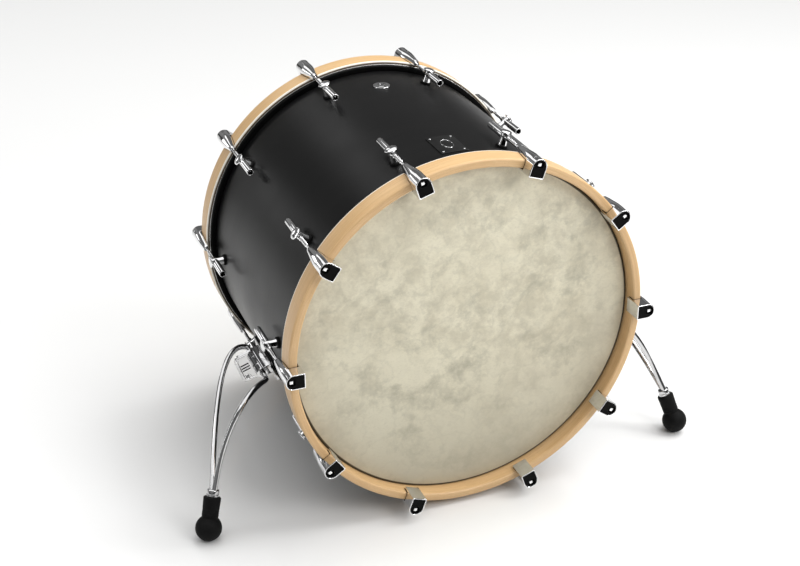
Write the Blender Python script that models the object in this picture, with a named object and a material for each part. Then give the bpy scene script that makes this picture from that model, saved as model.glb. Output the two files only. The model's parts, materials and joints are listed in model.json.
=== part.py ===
"""Bass drum, free standing: shell, two tensioned heads, claw hooks, lugs and folding spurs.

Units are metres, +Z is up, the front head faces -Y.  Every piece is laid out in the drum's own
frame first (drum axis along +Y, y = 0 at the front hoop's face, z = 0 on the drum axis) and is
then tilted by TILT so that the drum stands on its two spur feet and its rear hoop.
"""
import math

import bmesh
import bpy
from mathutils import Matrix, Vector

GAP = 0.0003

# shell, 22 inch by 18 inch
SHELL_RADIUS = 0.2794
SHELL_WALL = 0.0072
OVERALL_DEPTH = 0.502
HEAD_FACE = 0.0232
FILM = 0.0004
RIM_SEGMENTS = 60

# wooden hoops
HOOP_OUTER = 0.2942
HOOP_INNER = 0.2805
HOOP_DEPTH = 0.036
HOOP_ROUND = 0.0035

# flesh hoop carried by each head
FLESH_OUTER = 0.2893
FLESH_END = 0.0445

# tension rods, lugs and claw hooks
ROD_LINE = 0.2970
ROD_RADIUS = 0.0025
STATION_ANGLES = (18.0, 54.0, 90.0, 125.5, 160.0, 200.0, 234.5, 270.0, 306.0, 342.0)
CLAW_FACE = -0.0235
CLAW_HALF_WIDTH = 0.0125
CLAW_ROUND_CENTRE = 0.2935
CLAW_FLAT = 0.2755
CLAW_REACH = 0.0120
CLAW_FLANGE_TOP = 0.2792
CLAW_HOOD_BOTTOM = 0.2948
CLAW_END = 0.0475
POCKET_RADIUS = 0.0065
POCKET_FLOOR = -0.0160
KEY_HEAD_RADIUS = 0.0058
KEY_HEAD_FACE = -0.0205
HOOD_SECTIONS = (
    (-0.0100, 0.0118, 0.3054),
    (0.0060, 0.0112, 0.3054),
    (0.0270, 0.0078, 0.3042),
    (CLAW_END, 0.0054, 0.3026),
)
FLANGE_INSET = 0.0003
FLANGE_START = -0.0060
COLLAR_START = 0.0820
COLLAR_END = 0.0940
COLLAR_RADIUS = 0.0044
TUBE_RADIUS = 0.0059
TUBE_END = 0.1500
POST_STATION = 0.0990
POST_RADIUS = 0.0067
POST_FOOT_RADIUS = 0.0085
POST_FOOT_HEIGHT = 0.0018
CAP_UNDERSIDE = 0.3033
CAP_SHOULDER = 0.3050
CAP_TOP = 0.3070
CAP_RADIUS = 0.0098
CAP_CROWN_RADIUS = 0.0055
ROD_SIDES = 8
ARC_STEPS = 5

# air vent and badge on top of the shell
VENT_STATION = 0.384
VENT_FLANGE = 0.0145
VENT_FLANGE_HEIGHT = 0.0020
VENT_FLANGE_EDGE = 0.0016
VENT_TUBE = 0.0060
VENT_BORE = 0.0045
VENT_SIDES = 20
BADGE_STATION = 0.107
BADGE_HALF_LENGTH = 0.032
BADGE_HALF_ANGLE = 4.5
BADGE_THICKNESS = 0.0015
SECTOR_STEPS = 6
CUT_MARGIN = 0.01

# folding spurs, given for the +X side
PIVOT_X = 0.2846
PIVOT_Z = -0.0979
PIVOT_FRONT = 0.1575
PIVOT_REAR = 0.2705
LEG_RADIUS = 0.0045
BOW_UPPER = (0.3382, -0.0627)
BOW_LOWER = (0.3784, -0.1587)
BALL_CENTRE = Vector((0.4179, 0.0582, -0.2820))
BALL_RADIUS = 0.0210
STEM_VECTOR = Vector((-0.01325, 0.01610, 0.04506))
SLEEVE_TOP = 0.0497
SLEEVE_RADIUS = 0.0140
SLEEVE_CHAMFER = 0.0015
NECK_RADIUS = 0.0128
STEM_RADIUS = 0.0040
RING_RADIUS = 0.0100
RING_HEIGHT = 0.0040
HUB_HEIGHT = 0.0075
HUB_RADIUS = 0.0098
SPIKE_RECESS = 0.0008
SPIKE_SHOULDER = 0.0080
LEG_STEPS = (1.0, 0.80, 0.60, 0.42, 0.26, 0.12, 0.0)
LEG_BACK_SWEEP = 0.0168
LEG_SPREAD_OUT = 0.1412
LEG_SPREAD_IN = 0.1591
LEG_END_SPREAD = 0.0048
ELBOW_SHARE = 0.08
BRACKET_FRONT = 0.179
BRACKET_REAR = 0.249
GASKET_THICKNESS = 0.0018
GASKET_HALF_ANGLE = 4.6
GASKET_MARGIN = 0.0020
SADDLE_OVERHANG = 0.009
SADDLE_THICKNESS = 0.0045
SADDLE_HALF_ANGLE = 4.1
WEB_HALF_WIDTH = 0.0085
WEB_INSET = 0.0010
BORE_SIDES = 8
BARREL_WALL = 0.0050
PLATE_STATION = 0.2085
PLATE_THICKNESS = 0.0045
PLATE_LOW = -0.0300
PLATE_HIGH = 0.0225
PLATE_SINK = 0.0020
PLATE_RISE = 0.0330
SCREW_OFFSET = 0.0143
SCREW_RISE = 0.0230
SCREW_RADIUS = 0.0025
SCREW_TAIL = 0.0030
SCREW_HEAD_RADIUS = 0.0042
SCREW_HEAD_HEIGHT = 0.0050

FEET_SPAN = 0.4398
TILT = math.atan2(BALL_RADIUS - (BALL_CENTRE.z + HOOP_OUTER), FEET_SPAN)
MID_STATION = 0.2508


def remove_everything():
    """Empty the file."""
    for item in list(bpy.data.objects):
        bpy.data.objects.remove(item, do_unlink=True)
    for mesh in list(bpy.data.meshes):
        bpy.data.meshes.remove(mesh)


def floor_height():
    """Height of the drum axis origin above the floor once the drum stands on its feet."""
    ball_drop = -BALL_CENTRE.y * math.sin(TILT) + BALL_CENTRE.z * math.cos(TILT)
    return BALL_RADIUS - ball_drop


def standing_matrix():
    """Matrix from the drum's own frame to the room."""
    lift = Matrix.Translation((0.0, -MID_STATION, floor_height()))
    return lift @ Matrix.Rotation(-TILT, 4, "X")


def make_material(name, colour, metallic, roughness):
    """A plain Principled material."""
    material = bpy.data.materials.new(name)
    material.use_nodes = True
    shader = material.node_tree.nodes["Principled BSDF"]
    shader.inputs["Base Color"].default_value = (*colour, 1.0)
    shader.inputs["Metallic"].default_value = metallic
    shader.inputs["Roughness"].default_value = roughness
    return material


def lathe(profile, segments, closed=True):
    """Revolve (radius, height) points about +Z; points at radius 0 become poles."""
    bm = bmesh.new()
    rings = [lathe_ring(bm, radius, height, segments) for radius, height in profile]
    pairs = list(zip(rings, rings[1:]))
    if closed:
        pairs.append((rings[-1], rings[0]))
    for lower, upper in pairs:
        bridge_rings(bm, lower, upper, segments)
    bmesh.ops.recalc_face_normals(bm, faces=bm.faces)
    return bm


def lathe_ring(bm, radius, height, segments):
    """One ring of vertices, or a single pole vertex."""
    if radius == 0.0:
        return [bm.verts.new((0.0, 0.0, height))]
    turn = 2.0 * math.pi / segments
    return [
        bm.verts.new((radius * math.cos(turn * i), radius * math.sin(turn * i), height))
        for i in range(segments)
    ]


def bridge_rings(bm, lower, upper, segments):
    """Faces between two rings, either of which may be a pole."""
    if len(lower) == 1 and len(upper) == 1:
        return
    for i in range(segments):
        j = (i + 1) % segments
        if len(lower) == 1:
            bm.faces.new((lower[0], upper[i], upper[j]))
        elif len(upper) == 1:
            bm.faces.new((lower[i], upper[0], lower[j]))
        else:
            bm.faces.new((lower[i], upper[i], upper[j], lower[j]))


def cylinder(radius, low, high, sides):
    """Solid cylinder about +Z."""
    return lathe([(0.0, low), (radius, low), (radius, high), (0.0, high)], sides, False)


def loft(sections):
    """Closed solid through matching loops of points."""
    bm = bmesh.new()
    loops = [[bm.verts.new(point) for point in section] for section in sections]
    count = len(loops[0])
    for lower, upper in zip(loops, loops[1:]):
        for i in range(count):
            j = (i + 1) % count
            bm.faces.new((lower[i], upper[i], upper[j], lower[j]))
    bm.faces.new(loops[0])
    bm.faces.new(loops[-1])
    bmesh.ops.recalc_face_normals(bm, faces=bm.faces)
    return bm


def box(low, high):
    """Axis-aligned box between two corners."""
    corners = [(low[0], low[1]), (high[0], low[1]), (high[0], high[1]), (low[0], high[1])]
    return loft([[(x, y, z) for x, y in corners] for z in (low[2], high[2])])


def shell_sector(inner, outer, half_angle, front, rear):
    """Curved plate lying on the shell, centred on the +Z radius."""
    half = math.radians(half_angle)
    angles = [half * (2.0 * i / SECTOR_STEPS - 1.0) for i in range(SECTOR_STEPS + 1)]
    lower = [(inner * math.sin(a), inner * math.cos(a)) for a in angles]
    upper = [(outer * math.sin(a), outer * math.cos(a)) for a in reversed(angles)]
    return loft([[(x, y, z) for x, z in lower + upper] for y in (front, rear)])


def sweep(path, radius, sides):
    """Round rod along a list of points."""
    sections = []
    reference = Vector((0.0, 0.0, 1.0))
    for index, point in enumerate(path):
        before = path[max(index - 1, 0)]
        after = path[min(index + 1, len(path) - 1)]
        tangent = (after - before).normalized()
        across = (reference - tangent * reference.dot(tangent)).normalized()
        other = tangent.cross(across)
        reference = across
        turns = [2.0 * math.pi * i / sides for i in range(sides)]
        ring = [point + radius * (math.cos(t) * across + math.sin(t) * other) for t in turns]
        sections.append(ring)
    return loft(sections)


def as_object(bm, name):
    """Link a finished bmesh as an object."""
    mesh = bpy.data.meshes.new(name)
    bm.to_mesh(mesh)
    bm.free()
    item = bpy.data.objects.new(name, mesh)
    bpy.context.collection.objects.link(item)
    return item


def combine(target, others, operation):
    """Exact Boolean of target with each of the others, which are then removed."""
    for other in others:
        modifier = target.modifiers.new("Combine", "BOOLEAN")
        modifier.operation = operation
        modifier.solver = "EXACT"
        modifier.object = other
    depsgraph = bpy.context.evaluated_depsgraph_get()
    depsgraph.update()
    mesh = bpy.data.meshes.new_from_object(target.evaluated_get(depsgraph))
    target.modifiers.clear()
    target.data = mesh
    for other in others:
        bpy.data.objects.remove(other, do_unlink=True)
    return target


def turned(bm, matrix):
    """Transform a bmesh in place and return it."""
    bmesh.ops.transform(bm, matrix=matrix, verts=bm.verts)
    if matrix.determinant() < 0.0:
        bmesh.ops.reverse_faces(bm, faces=bm.faces)
    return bm


def place(item, material, origin=Vector((0.0, 0.0, 0.0)), smooth=35.0):
    """Give material and shading, move the object origin to a drum-frame point and stand it up."""
    mesh = item.data
    mesh.transform(Matrix.Translation(-origin))
    mesh.materials.clear()
    mesh.materials.append(material)
    mesh.polygons.foreach_set("use_smooth", [True] * len(mesh.polygons))
    mesh.set_sharp_from_angle(angle=math.radians(smooth))
    item.matrix_world = standing_matrix() @ Matrix.Translation(origin)
    return item


AXIS_TO_Y = Matrix.Rotation(math.radians(-90.0), 4, "X")


def about_drum_axis(profile, segments, rear):
    """Revolve (radius, station) points about the drum axis, at the front or mirrored rear end."""
    if rear:
        profile = [(radius, OVERALL_DEPTH - station) for radius, station in profile]
    return turned(lathe(profile, segments), AXIS_TO_Y)


def build_shell(material):
    """Bent-ply shell with its vent hole."""
    end = HEAD_FACE + FILM + GAP
    inner = SHELL_RADIUS - SHELL_WALL
    profile = [
        (inner, end + 0.003),
        (SHELL_RADIUS - 0.002, end),
        (SHELL_RADIUS, end + 0.001),
        (SHELL_RADIUS, OVERALL_DEPTH - end - 0.001),
        (SHELL_RADIUS - 0.002, OVERALL_DEPTH - end),
        (inner, OVERALL_DEPTH - end - 0.003),
    ]
    shell = as_object(about_drum_axis(profile, RIM_SEGMENTS, False), "shell")
    low = inner - CUT_MARGIN
    high = SHELL_RADIUS + CUT_MARGIN
    hole = cylinder(VENT_TUBE + GAP, low, high, VENT_SIDES)
    turned(hole, Matrix.Translation((0.0, VENT_STATION, 0.0)))
    combine(shell, [as_object(hole, "hole")], "DIFFERENCE")
    return place(shell, material)


def build_hoop(name, material, rear):
    """Wooden hoop with rounded face edges."""
    soft = HOOP_ROUND * 0.3
    profile = [
        (HOOP_INNER, HOOP_ROUND),
        (HOOP_INNER + soft, soft),
        (HOOP_INNER + HOOP_ROUND, 0.0),
        (HOOP_OUTER - HOOP_ROUND, 0.0),
        (HOOP_OUTER - soft, soft),
        (HOOP_OUTER, HOOP_ROUND),
        (HOOP_OUTER, HOOP_DEPTH),
        (HOOP_INNER, HOOP_DEPTH),
    ]
    return place(as_object(about_drum_axis(profile, RIM_SEGMENTS, rear), name), material)


def build_head(name, material, rear):
    """Drum head: film, collar over the bearing edge and flesh hoop behind the wooden hoop."""
    collar_inner = SHELL_RADIUS + GAP
    collar_outer = collar_inner + FILM
    step = HOOP_DEPTH + GAP
    profile = [
        (0.0, HEAD_FACE),
        (collar_outer, HEAD_FACE),
        (collar_outer, step),
        (FLESH_OUTER, step),
        (FLESH_OUTER, FLESH_END),
        (collar_inner, FLESH_END),
        (collar_inner, HEAD_FACE + FILM),
        (0.0, HEAD_FACE + FILM),
    ]
    if rear:
        profile = [(radius, OVERALL_DEPTH - station) for radius, station in profile]
    bm = turned(lathe(profile, RIM_SEGMENTS, False), AXIS_TO_Y)
    return place(as_object(bm, name), material)


def d_section(station, half_width, top, bottom):
    """D outline: round side away from the drum axis, flat side towards it."""
    centre = top - half_width
    arc = [math.pi * i / ARC_STEPS for i in range(ARC_STEPS + 1)]
    points = [(half_width * math.cos(a), station, centre + half_width * math.sin(a)) for a in arc]
    return points + [(-half_width, station, bottom), (half_width, station, bottom)]


def hood_section(station, half_width, top):
    """Half-round outline standing on the hood's flat underside."""
    rise = top - CLAW_HOOD_BOTTOM
    arc = [math.pi * i / ARC_STEPS for i in range(ARC_STEPS + 1)]
    return [
        (half_width * math.cos(a), station, CLAW_HOOD_BOTTOM + rise * math.sin(a)) for a in arc
    ]


def rod_cylinder(radius, start, end):
    """Cylinder on the tension rod line of the top station."""
    to_rod = Matrix.Translation((0.0, 0.0, ROD_LINE)) @ AXIS_TO_Y
    return turned(cylinder(radius, start, end, ROD_SIDES), to_rod)


def claw_object():
    """Claw hook of the front top station, bored for its rod and pocketed for the key head."""
    top = CLAW_ROUND_CENTRE + CLAW_HALF_WIDTH
    block = loft([
        d_section(CLAW_FACE, CLAW_HALF_WIDTH, top, CLAW_FLAT),
        d_section(-GAP, CLAW_HALF_WIDTH, top, CLAW_FLAT),
    ])
    hood = loft([hood_section(*section) for section in HOOD_SECTIONS])
    half = CLAW_HALF_WIDTH - FLANGE_INSET
    flange = box(
        (-half, FLANGE_START, CLAW_FLAT + FLANGE_INSET),
        (half, CLAW_REACH, CLAW_FLANGE_TOP),
    )
    claw = as_object(block, "claw")
    combine(claw, [as_object(hood, "hood"), as_object(flange, "flange")], "UNION")
    before = CLAW_FACE - CUT_MARGIN
    bore = rod_cylinder(ROD_RADIUS + GAP, before, CLAW_END + CUT_MARGIN)
    pocket = rod_cylinder(POCKET_RADIUS, before, POCKET_FLOOR)
    return combine(claw, [as_object(bore, "bore"), as_object(pocket, "pocket")], "DIFFERENCE")


def lug_object():
    """Lug of the front top station: post with a domed cap, receiver tube and tension rod."""
    profile = [
        (0.0, KEY_HEAD_FACE),
        (KEY_HEAD_RADIUS, KEY_HEAD_FACE),
        (KEY_HEAD_RADIUS, POCKET_FLOOR - GAP),
        (ROD_RADIUS, POCKET_FLOOR - GAP),
        (ROD_RADIUS, COLLAR_START),
        (COLLAR_RADIUS, COLLAR_END),
        (TUBE_RADIUS, POST_STATION),
        (TUBE_RADIUS, TUBE_END),
        (0.0, TUBE_END),
    ]
    to_rod = Matrix.Translation((0.0, 0.0, ROD_LINE)) @ AXIS_TO_Y
    rod = turned(lathe(profile, ROD_SIDES, False), to_rod)
    foot = SHELL_RADIUS + GAP
    post = lathe([
        (0.0, foot),
        (POST_FOOT_RADIUS, foot),
        (POST_FOOT_RADIUS, foot + POST_FOOT_HEIGHT),
        (POST_RADIUS, foot + POST_FOOT_HEIGHT),
        (POST_RADIUS, CAP_UNDERSIDE),
        (CAP_RADIUS, CAP_UNDERSIDE),
        (CAP_RADIUS, CAP_SHOULDER),
        (CAP_CROWN_RADIUS, CAP_TOP),
        (0.0, CAP_TOP),
    ], ROD_SIDES, False)
    turned(post, Matrix.Translation((0.0, POST_STATION, 0.0)))
    return combine(as_object(rod, "lug"), [as_object(post, "post")], "UNION")


def station_matrix(angle, rear):
    """From the front top station to the given station; the rear end is turned end for end."""
    spin = Matrix.Rotation(math.radians(angle), 4, "Y")
    if rear:
        flip = Matrix.Rotation(math.pi, 4, "Z")
        return spin @ Matrix.Translation((0.0, OVERALL_DEPTH, 0.0)) @ flip
    return spin


def build_stations(kind, pattern, material):
    """Twenty copies of the pattern, ten at each end, sharing one mesh."""
    place(pattern, material)
    for end, rear in (("front", False), ("rear", True)):
        for number, angle in enumerate(STATION_ANGLES, start=1):
            copy = bpy.data.objects.new(f"{kind}_{end}_{number:02d}", pattern.data)
            bpy.context.collection.objects.link(copy)
            copy.matrix_world = standing_matrix() @ station_matrix(angle, rear)
    bpy.data.objects.remove(pattern, do_unlink=True)


def build_vent(material):
    """Grommet through the vent hole."""
    seat = SHELL_RADIUS + GAP
    inside = SHELL_RADIUS - SHELL_WALL - VENT_FLANGE_HEIGHT
    profile = [
        (VENT_BORE, inside),
        (VENT_TUBE, inside),
        (VENT_TUBE, seat),
        (VENT_FLANGE, seat),
        (VENT_FLANGE, seat + 0.5 * VENT_FLANGE_EDGE),
        (VENT_FLANGE - VENT_FLANGE_EDGE, seat + VENT_FLANGE_EDGE),
        (VENT_BORE, seat + VENT_FLANGE_HEIGHT),
    ]
    bm = turned(lathe(profile, VENT_SIDES), Matrix.Translation((0.0, VENT_STATION, 0.0)))
    return place(as_object(bm, "air_vent"), material)


def build_badge(material):
    """Plain plate lying on the shell behind the front hoop."""
    inner = SHELL_RADIUS + GAP
    front = BADGE_STATION - BADGE_HALF_LENGTH
    rear = BADGE_STATION + BADGE_HALF_LENGTH
    bm = shell_sector(inner, inner + BADGE_THICKNESS, BADGE_HALF_ANGLE, front, rear)
    return place(as_object(bm, "badge_plate"), material)


def bezier(start, control_a, control_b, end, t):
    """Point on a cubic curve in the x-z plane."""
    u = 1.0 - t
    weights = (u ** 3, 3.0 * t * u * u, 3.0 * t * t * u, t ** 3)
    points = (start, control_a, control_b, end)
    x = sum(weight * point[0] for weight, point in zip(weights, points))
    z = sum(weight * point[1] for weight, point in zip(weights, points))
    return x, z


def stem_top():
    """Centre of the sleeve's upper end, where the two legs run together."""
    return BALL_CENTRE + STEM_VECTOR.normalized() * SLEEVE_TOP


def hub_centre():
    """Middle of the hub that joins the legs above the lock ring."""
    rise = SLEEVE_TOP + GAP + RING_HEIGHT + GAP + HUB_HEIGHT * 0.5
    return BALL_CENTRE + STEM_VECTOR.normalized() * rise


def leg_point(t, towards_rear):
    """Point on one leg; t runs from 0 at the pivot shaft to 1 in the hub."""
    hub = hub_centre()
    x, z = bezier((PIVOT_X, PIVOT_Z), BOW_UPPER, BOW_LOWER, (hub.x, hub.z), t)
    middle = 0.5 * (PIVOT_FRONT + PIVOT_REAR)
    centre = middle + (hub.y - middle) * t + LEG_BACK_SWEEP * t * (1.0 - t)
    half = 0.5 * (PIVOT_REAR - PIVOT_FRONT)
    bulge = half + LEG_SPREAD_OUT * t - LEG_SPREAD_IN * t * t
    spread = (1.0 - t) * bulge + LEG_END_SPREAD * t
    return Vector((x, centre + (spread if towards_rear else -spread), z))


def rounded(path, passes):
    """Cut the corners of an open path, keeping its ends."""
    for _ in range(passes):
        result = [path[0]]
        for a, b in zip(path, path[1:]):
            result.append(a.lerp(b, 0.25))
            result.append(a.lerp(b, 0.75))
        result.append(path[-1])
        path = result
    return path


def leg_path():
    """Centre line of the bent rod: up the front leg, along the pivot shaft, down the rear leg."""
    front = [leg_point(t, False) for t in LEG_STEPS]
    rear = [leg_point(t, True) for t in reversed(LEG_STEPS)]
    shaft = [front[-1].lerp(rear[0], share) for share in (ELBOW_SHARE, 1.0 - ELBOW_SHARE)]
    return rounded(front + shaft + rear, 1)


def mirror(side):
    """Matrix for the +X (1) or -X (-1) side."""
    return Matrix.Scale(float(side), 4, (1.0, 0.0, 0.0))


def stem_matrix():
    """From +Z at the origin to the stem axis, with the origin at the ball centre."""
    turn = Vector((0.0, 0.0, 1.0)).rotation_difference(STEM_VECTOR)
    return Matrix.Translation(BALL_CENTRE) @ turn.to_matrix().to_4x4()


def sided(point, side):
    """The +X side point carried to the given side."""
    return Vector((point.x * side, point.y, point.z))


def build_spur_leg(name, material, side):
    """Bent rod wishbone with its hub, threaded stem and spike."""
    loop = as_object(turned(sweep(leg_path(), LEG_RADIUS, 8), mirror(side)), name)
    hub_low = SLEEVE_TOP + 2.0 * GAP + RING_HEIGHT
    profile = [
        (0.0, SPIKE_RECESS - BALL_RADIUS),
        (STEM_RADIUS, SPIKE_SHOULDER - BALL_RADIUS),
        (STEM_RADIUS, hub_low),
        (HUB_RADIUS, hub_low),
        (HUB_RADIUS, hub_low + HUB_HEIGHT),
        (0.0, hub_low + HUB_HEIGHT),
    ]
    stem = turned(lathe(profile, 14, False), mirror(side) @ stem_matrix())
    combine(loop, [as_object(stem, "stem")], "UNION")
    pivot = Vector((PIVOT_X, 0.5 * (PIVOT_FRONT + PIVOT_REAR), PIVOT_Z))
    return place(loop, material, sided(pivot, side))


def build_spur_foot(name, material, side):
    """Rubber sleeve and ball screwed on the stem."""
    bore = STEM_RADIUS + GAP
    polar = math.asin(NECK_RADIUS / BALL_RADIUS)
    low = math.asin(bore / BALL_RADIUS)
    steps = 6
    turns = [math.pi - low - (math.pi - low - polar) * i / steps for i in range(steps + 1)]
    ball = [(BALL_RADIUS * math.sin(a), BALL_RADIUS * math.cos(a)) for a in turns]
    sleeve = [
        (SLEEVE_RADIUS, SLEEVE_TOP - SLEEVE_CHAMFER),
        (SLEEVE_RADIUS - SLEEVE_CHAMFER, SLEEVE_TOP),
        (bore, SLEEVE_TOP),
    ]
    profile = ball + sleeve
    bm = turned(lathe(profile, 16), mirror(side) @ stem_matrix())
    return place(as_object(bm, name), material, sided(BALL_CENTRE, side))


def build_lock_ring(name, material, side):
    """Threaded ring that locks the foot on its stem."""
    low = SLEEVE_TOP + GAP
    bore = STEM_RADIUS + GAP
    high = low + RING_HEIGHT
    profile = [(bore, low), (RING_RADIUS, low), (RING_RADIUS, high), (bore, high)]
    bm = turned(lathe(profile, 16), mirror(side) @ stem_matrix())
    return place(as_object(bm, name), material, sided(stem_top(), side))


def pivot_angle():
    """Clock angle of the pivot seen from the front, from the top towards +X."""
    return math.atan2(PIVOT_X, PIVOT_Z)


def bracket_matrix(side):
    """From the top of the shell to the pivot's place on the shell."""
    return mirror(side) @ Matrix.Rotation(pivot_angle(), 4, "Y")


def build_spur_gasket(name, material, side):
    """Rubber pad between bracket and shell."""
    inner = SHELL_RADIUS + GAP
    overhang = SADDLE_OVERHANG + GASKET_MARGIN
    bm = shell_sector(
        inner,
        inner + GASKET_THICKNESS,
        GASKET_HALF_ANGLE,
        BRACKET_FRONT - overhang,
        BRACKET_REAR + overhang,
    )
    return place(as_object(turned(bm, bracket_matrix(side)), name), material)


def pivot_line():
    """Distance of the pivot shaft from the drum axis."""
    return math.hypot(PIVOT_X, PIVOT_Z)


def along_pivot(bm):
    """A solid about +Z laid on the pivot shaft's line."""
    return turned(bm, Matrix.Translation((0.0, 0.0, pivot_line())) @ AXIS_TO_Y)


def screw_matrix():
    """From +Z at the origin to the lock screw's line."""
    return Matrix.Translation((SCREW_OFFSET, 0.0, pivot_line() + SCREW_RISE)) @ AXIS_TO_Y


def bracket_solids():
    """Saddle, web, barrel and clamp plate at the top of the shell."""
    low = SHELL_RADIUS + GAP + GASKET_THICKNESS + GAP
    line = pivot_line()
    saddle = shell_sector(
        low,
        low + SADDLE_THICKNESS,
        SADDLE_HALF_ANGLE,
        BRACKET_FRONT - SADDLE_OVERHANG,
        BRACKET_REAR + SADDLE_OVERHANG,
    )
    web = box(
        (-WEB_HALF_WIDTH, BRACKET_FRONT + WEB_INSET, low + 0.5 * SADDLE_THICKNESS),
        (WEB_HALF_WIDTH, BRACKET_REAR - WEB_INSET, line),
    )
    barrel_radius = LEG_RADIUS + GAP + BARREL_WALL
    barrel = along_pivot(cylinder(barrel_radius, BRACKET_FRONT, BRACKET_REAR, 14))
    plate = box(
        (PLATE_LOW, PLATE_STATION, line - PLATE_SINK),
        (PLATE_HIGH, PLATE_STATION + PLATE_THICKNESS, line + PLATE_RISE),
    )
    return [saddle, web, barrel, plate]


def bracket_cuts():
    """Bore for the pivot shaft and hole for the lock screw."""
    bore_radius = (LEG_RADIUS + GAP) / math.cos(math.pi / BORE_SIDES)
    front = BRACKET_FRONT - CUT_MARGIN
    bore = along_pivot(cylinder(bore_radius, front, BRACKET_REAR + CUT_MARGIN, BORE_SIDES))
    start = PLATE_STATION - CUT_MARGIN
    end = PLATE_STATION + PLATE_THICKNESS + CUT_MARGIN
    hole = turned(cylinder(SCREW_RADIUS + GAP, start, end, 10), screw_matrix())
    return [bore, hole]


def build_spur_bracket(name, material, side):
    """Cast bracket: saddle on the shell, barrel for the pivot shaft and a clamp plate."""
    matrix = bracket_matrix(side)
    solids = [as_object(turned(bm, matrix), name) for bm in bracket_solids()]
    body = solids[0]
    body.name = name
    combine(body, solids[1:], "UNION")
    cuts = [as_object(turned(bm, matrix), "cut") for bm in bracket_cuts()]
    combine(body, cuts, "DIFFERENCE")
    return place(body, material)


def build_lock_screw(name, material, side):
    """Key screw through the clamp plate."""
    face = PLATE_STATION - GAP
    head = face - SCREW_HEAD_HEIGHT
    back = PLATE_STATION + PLATE_THICKNESS + SCREW_TAIL
    profile = [
        (0.0, head),
        (SCREW_HEAD_RADIUS, head),
        (SCREW_HEAD_RADIUS, face),
        (SCREW_RADIUS, face),
        (SCREW_RADIUS, back),
        (0.0, back),
    ]
    matrix = bracket_matrix(side) @ screw_matrix()
    bm = turned(lathe(profile, 10, False), matrix)
    axis_point = matrix @ Vector((0.0, 0.0, PLATE_STATION))
    return place(as_object(bm, name), material, axis_point)


def build_spur(word, side, materials):
    """Everything of one folding spur."""
    build_spur_gasket(f"spur_gasket_{word}", materials["rubber"], side)
    build_spur_bracket(f"spur_bracket_{word}", materials["chrome"], side)
    build_lock_screw(f"spur_lock_screw_{word}", materials["chrome"], side)
    build_spur_leg(f"spur_leg_{word}", materials["chrome"], side)
    build_lock_ring(f"spur_lock_ring_{word}", materials["chrome"], side)
    build_spur_foot(f"spur_foot_{word}", materials["rubber"], side)


def build_drum():
    """The whole assembly."""
    remove_everything()
    materials = {
        "wood": make_material("maple", (0.62, 0.42, 0.22), 0.0, 0.5),
        "shell": make_material("satin_black", (0.02, 0.02, 0.02), 0.0, 0.4),
        "film": make_material("head_film", (0.60, 0.57, 0.48), 0.0, 0.6),
        "chrome": make_material("chrome", (0.80, 0.80, 0.82), 1.0, 0.08),
        "rubber": make_material("rubber", (0.01, 0.01, 0.01), 0.0, 0.8),
    }
    build_shell(materials["shell"])
    for end, rear in (("front", False), ("rear", True)):
        build_hoop(f"hoop_{end}", materials["wood"], rear)
        build_head(f"head_{end}", materials["film"], rear)
    build_vent(materials["chrome"])
    build_badge(materials["shell"])
    build_stations("claw", claw_object(), materials["chrome"])
    build_stations("lug", lug_object(), materials["chrome"])
    build_spur("right", 1, materials)
    build_spur("left", -1, materials)


build_drum()
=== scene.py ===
"""Looks of the free-standing bass drum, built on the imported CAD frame.

Every piece is laid out in the drum's own frame (metres, drum axis along +Y, y = 0 at the front
hoop's face, z = 0 on the axis) and is then stood up by STAND, which comes from the frame.
"""
import json
import math

import bmesh
import bpy
import numpy as np
from mathutils import Matrix, Vector


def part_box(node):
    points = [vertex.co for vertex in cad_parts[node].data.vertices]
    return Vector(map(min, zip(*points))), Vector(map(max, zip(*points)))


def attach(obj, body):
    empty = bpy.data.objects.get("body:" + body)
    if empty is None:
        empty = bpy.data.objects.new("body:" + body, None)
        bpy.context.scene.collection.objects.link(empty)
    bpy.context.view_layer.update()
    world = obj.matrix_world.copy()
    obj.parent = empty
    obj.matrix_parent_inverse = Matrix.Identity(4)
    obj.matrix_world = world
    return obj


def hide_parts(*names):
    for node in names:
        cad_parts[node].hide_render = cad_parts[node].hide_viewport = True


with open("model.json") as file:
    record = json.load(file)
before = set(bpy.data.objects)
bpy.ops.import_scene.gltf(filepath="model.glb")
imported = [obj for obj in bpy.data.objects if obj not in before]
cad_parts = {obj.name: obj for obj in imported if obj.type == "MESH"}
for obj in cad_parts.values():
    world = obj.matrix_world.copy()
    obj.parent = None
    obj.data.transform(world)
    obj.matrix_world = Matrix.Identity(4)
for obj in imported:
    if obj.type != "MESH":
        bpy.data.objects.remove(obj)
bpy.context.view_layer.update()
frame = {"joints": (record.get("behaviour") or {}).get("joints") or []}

# depth over the hoops, then places taken from the frame
DEPTH = 0.502
SHELL_LOW, SHELL_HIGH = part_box("shell")
HOOP_LOW, HOOP_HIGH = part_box("hoop_front")
SHELL_RADIUS = 0.5 * (SHELL_HIGH.x - SHELL_LOW.x)
HOOP_OUTER = 0.5 * (HOOP_HIGH.x - HOOP_LOW.x)
JOINTS = {joint["name"]: joint for joint in frame["joints"]}
DRUM_AXIS = Vector(JOINTS["spur_fold_right"]["axis"])
STAND = (
    Matrix.Translation(0.5 * (SHELL_LOW + SHELL_HIGH))
    @ Vector((0.0, 1.0, 0.0)).rotation_difference(DRUM_AXIS).to_matrix().to_4x4()
    @ Matrix.Translation((0.0, -0.5 * DEPTH, 0.0))
)
AXIS_TO_Y = Matrix.Rotation(math.radians(-90.0), 4, "X")
STATION_ANGLES = (18.0, 54.0, 90.0, 125.5, 160.0, 200.0, 234.5, 270.0, 306.0, 342.0)

ROUND = 192
GAP = 0.0003

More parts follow.
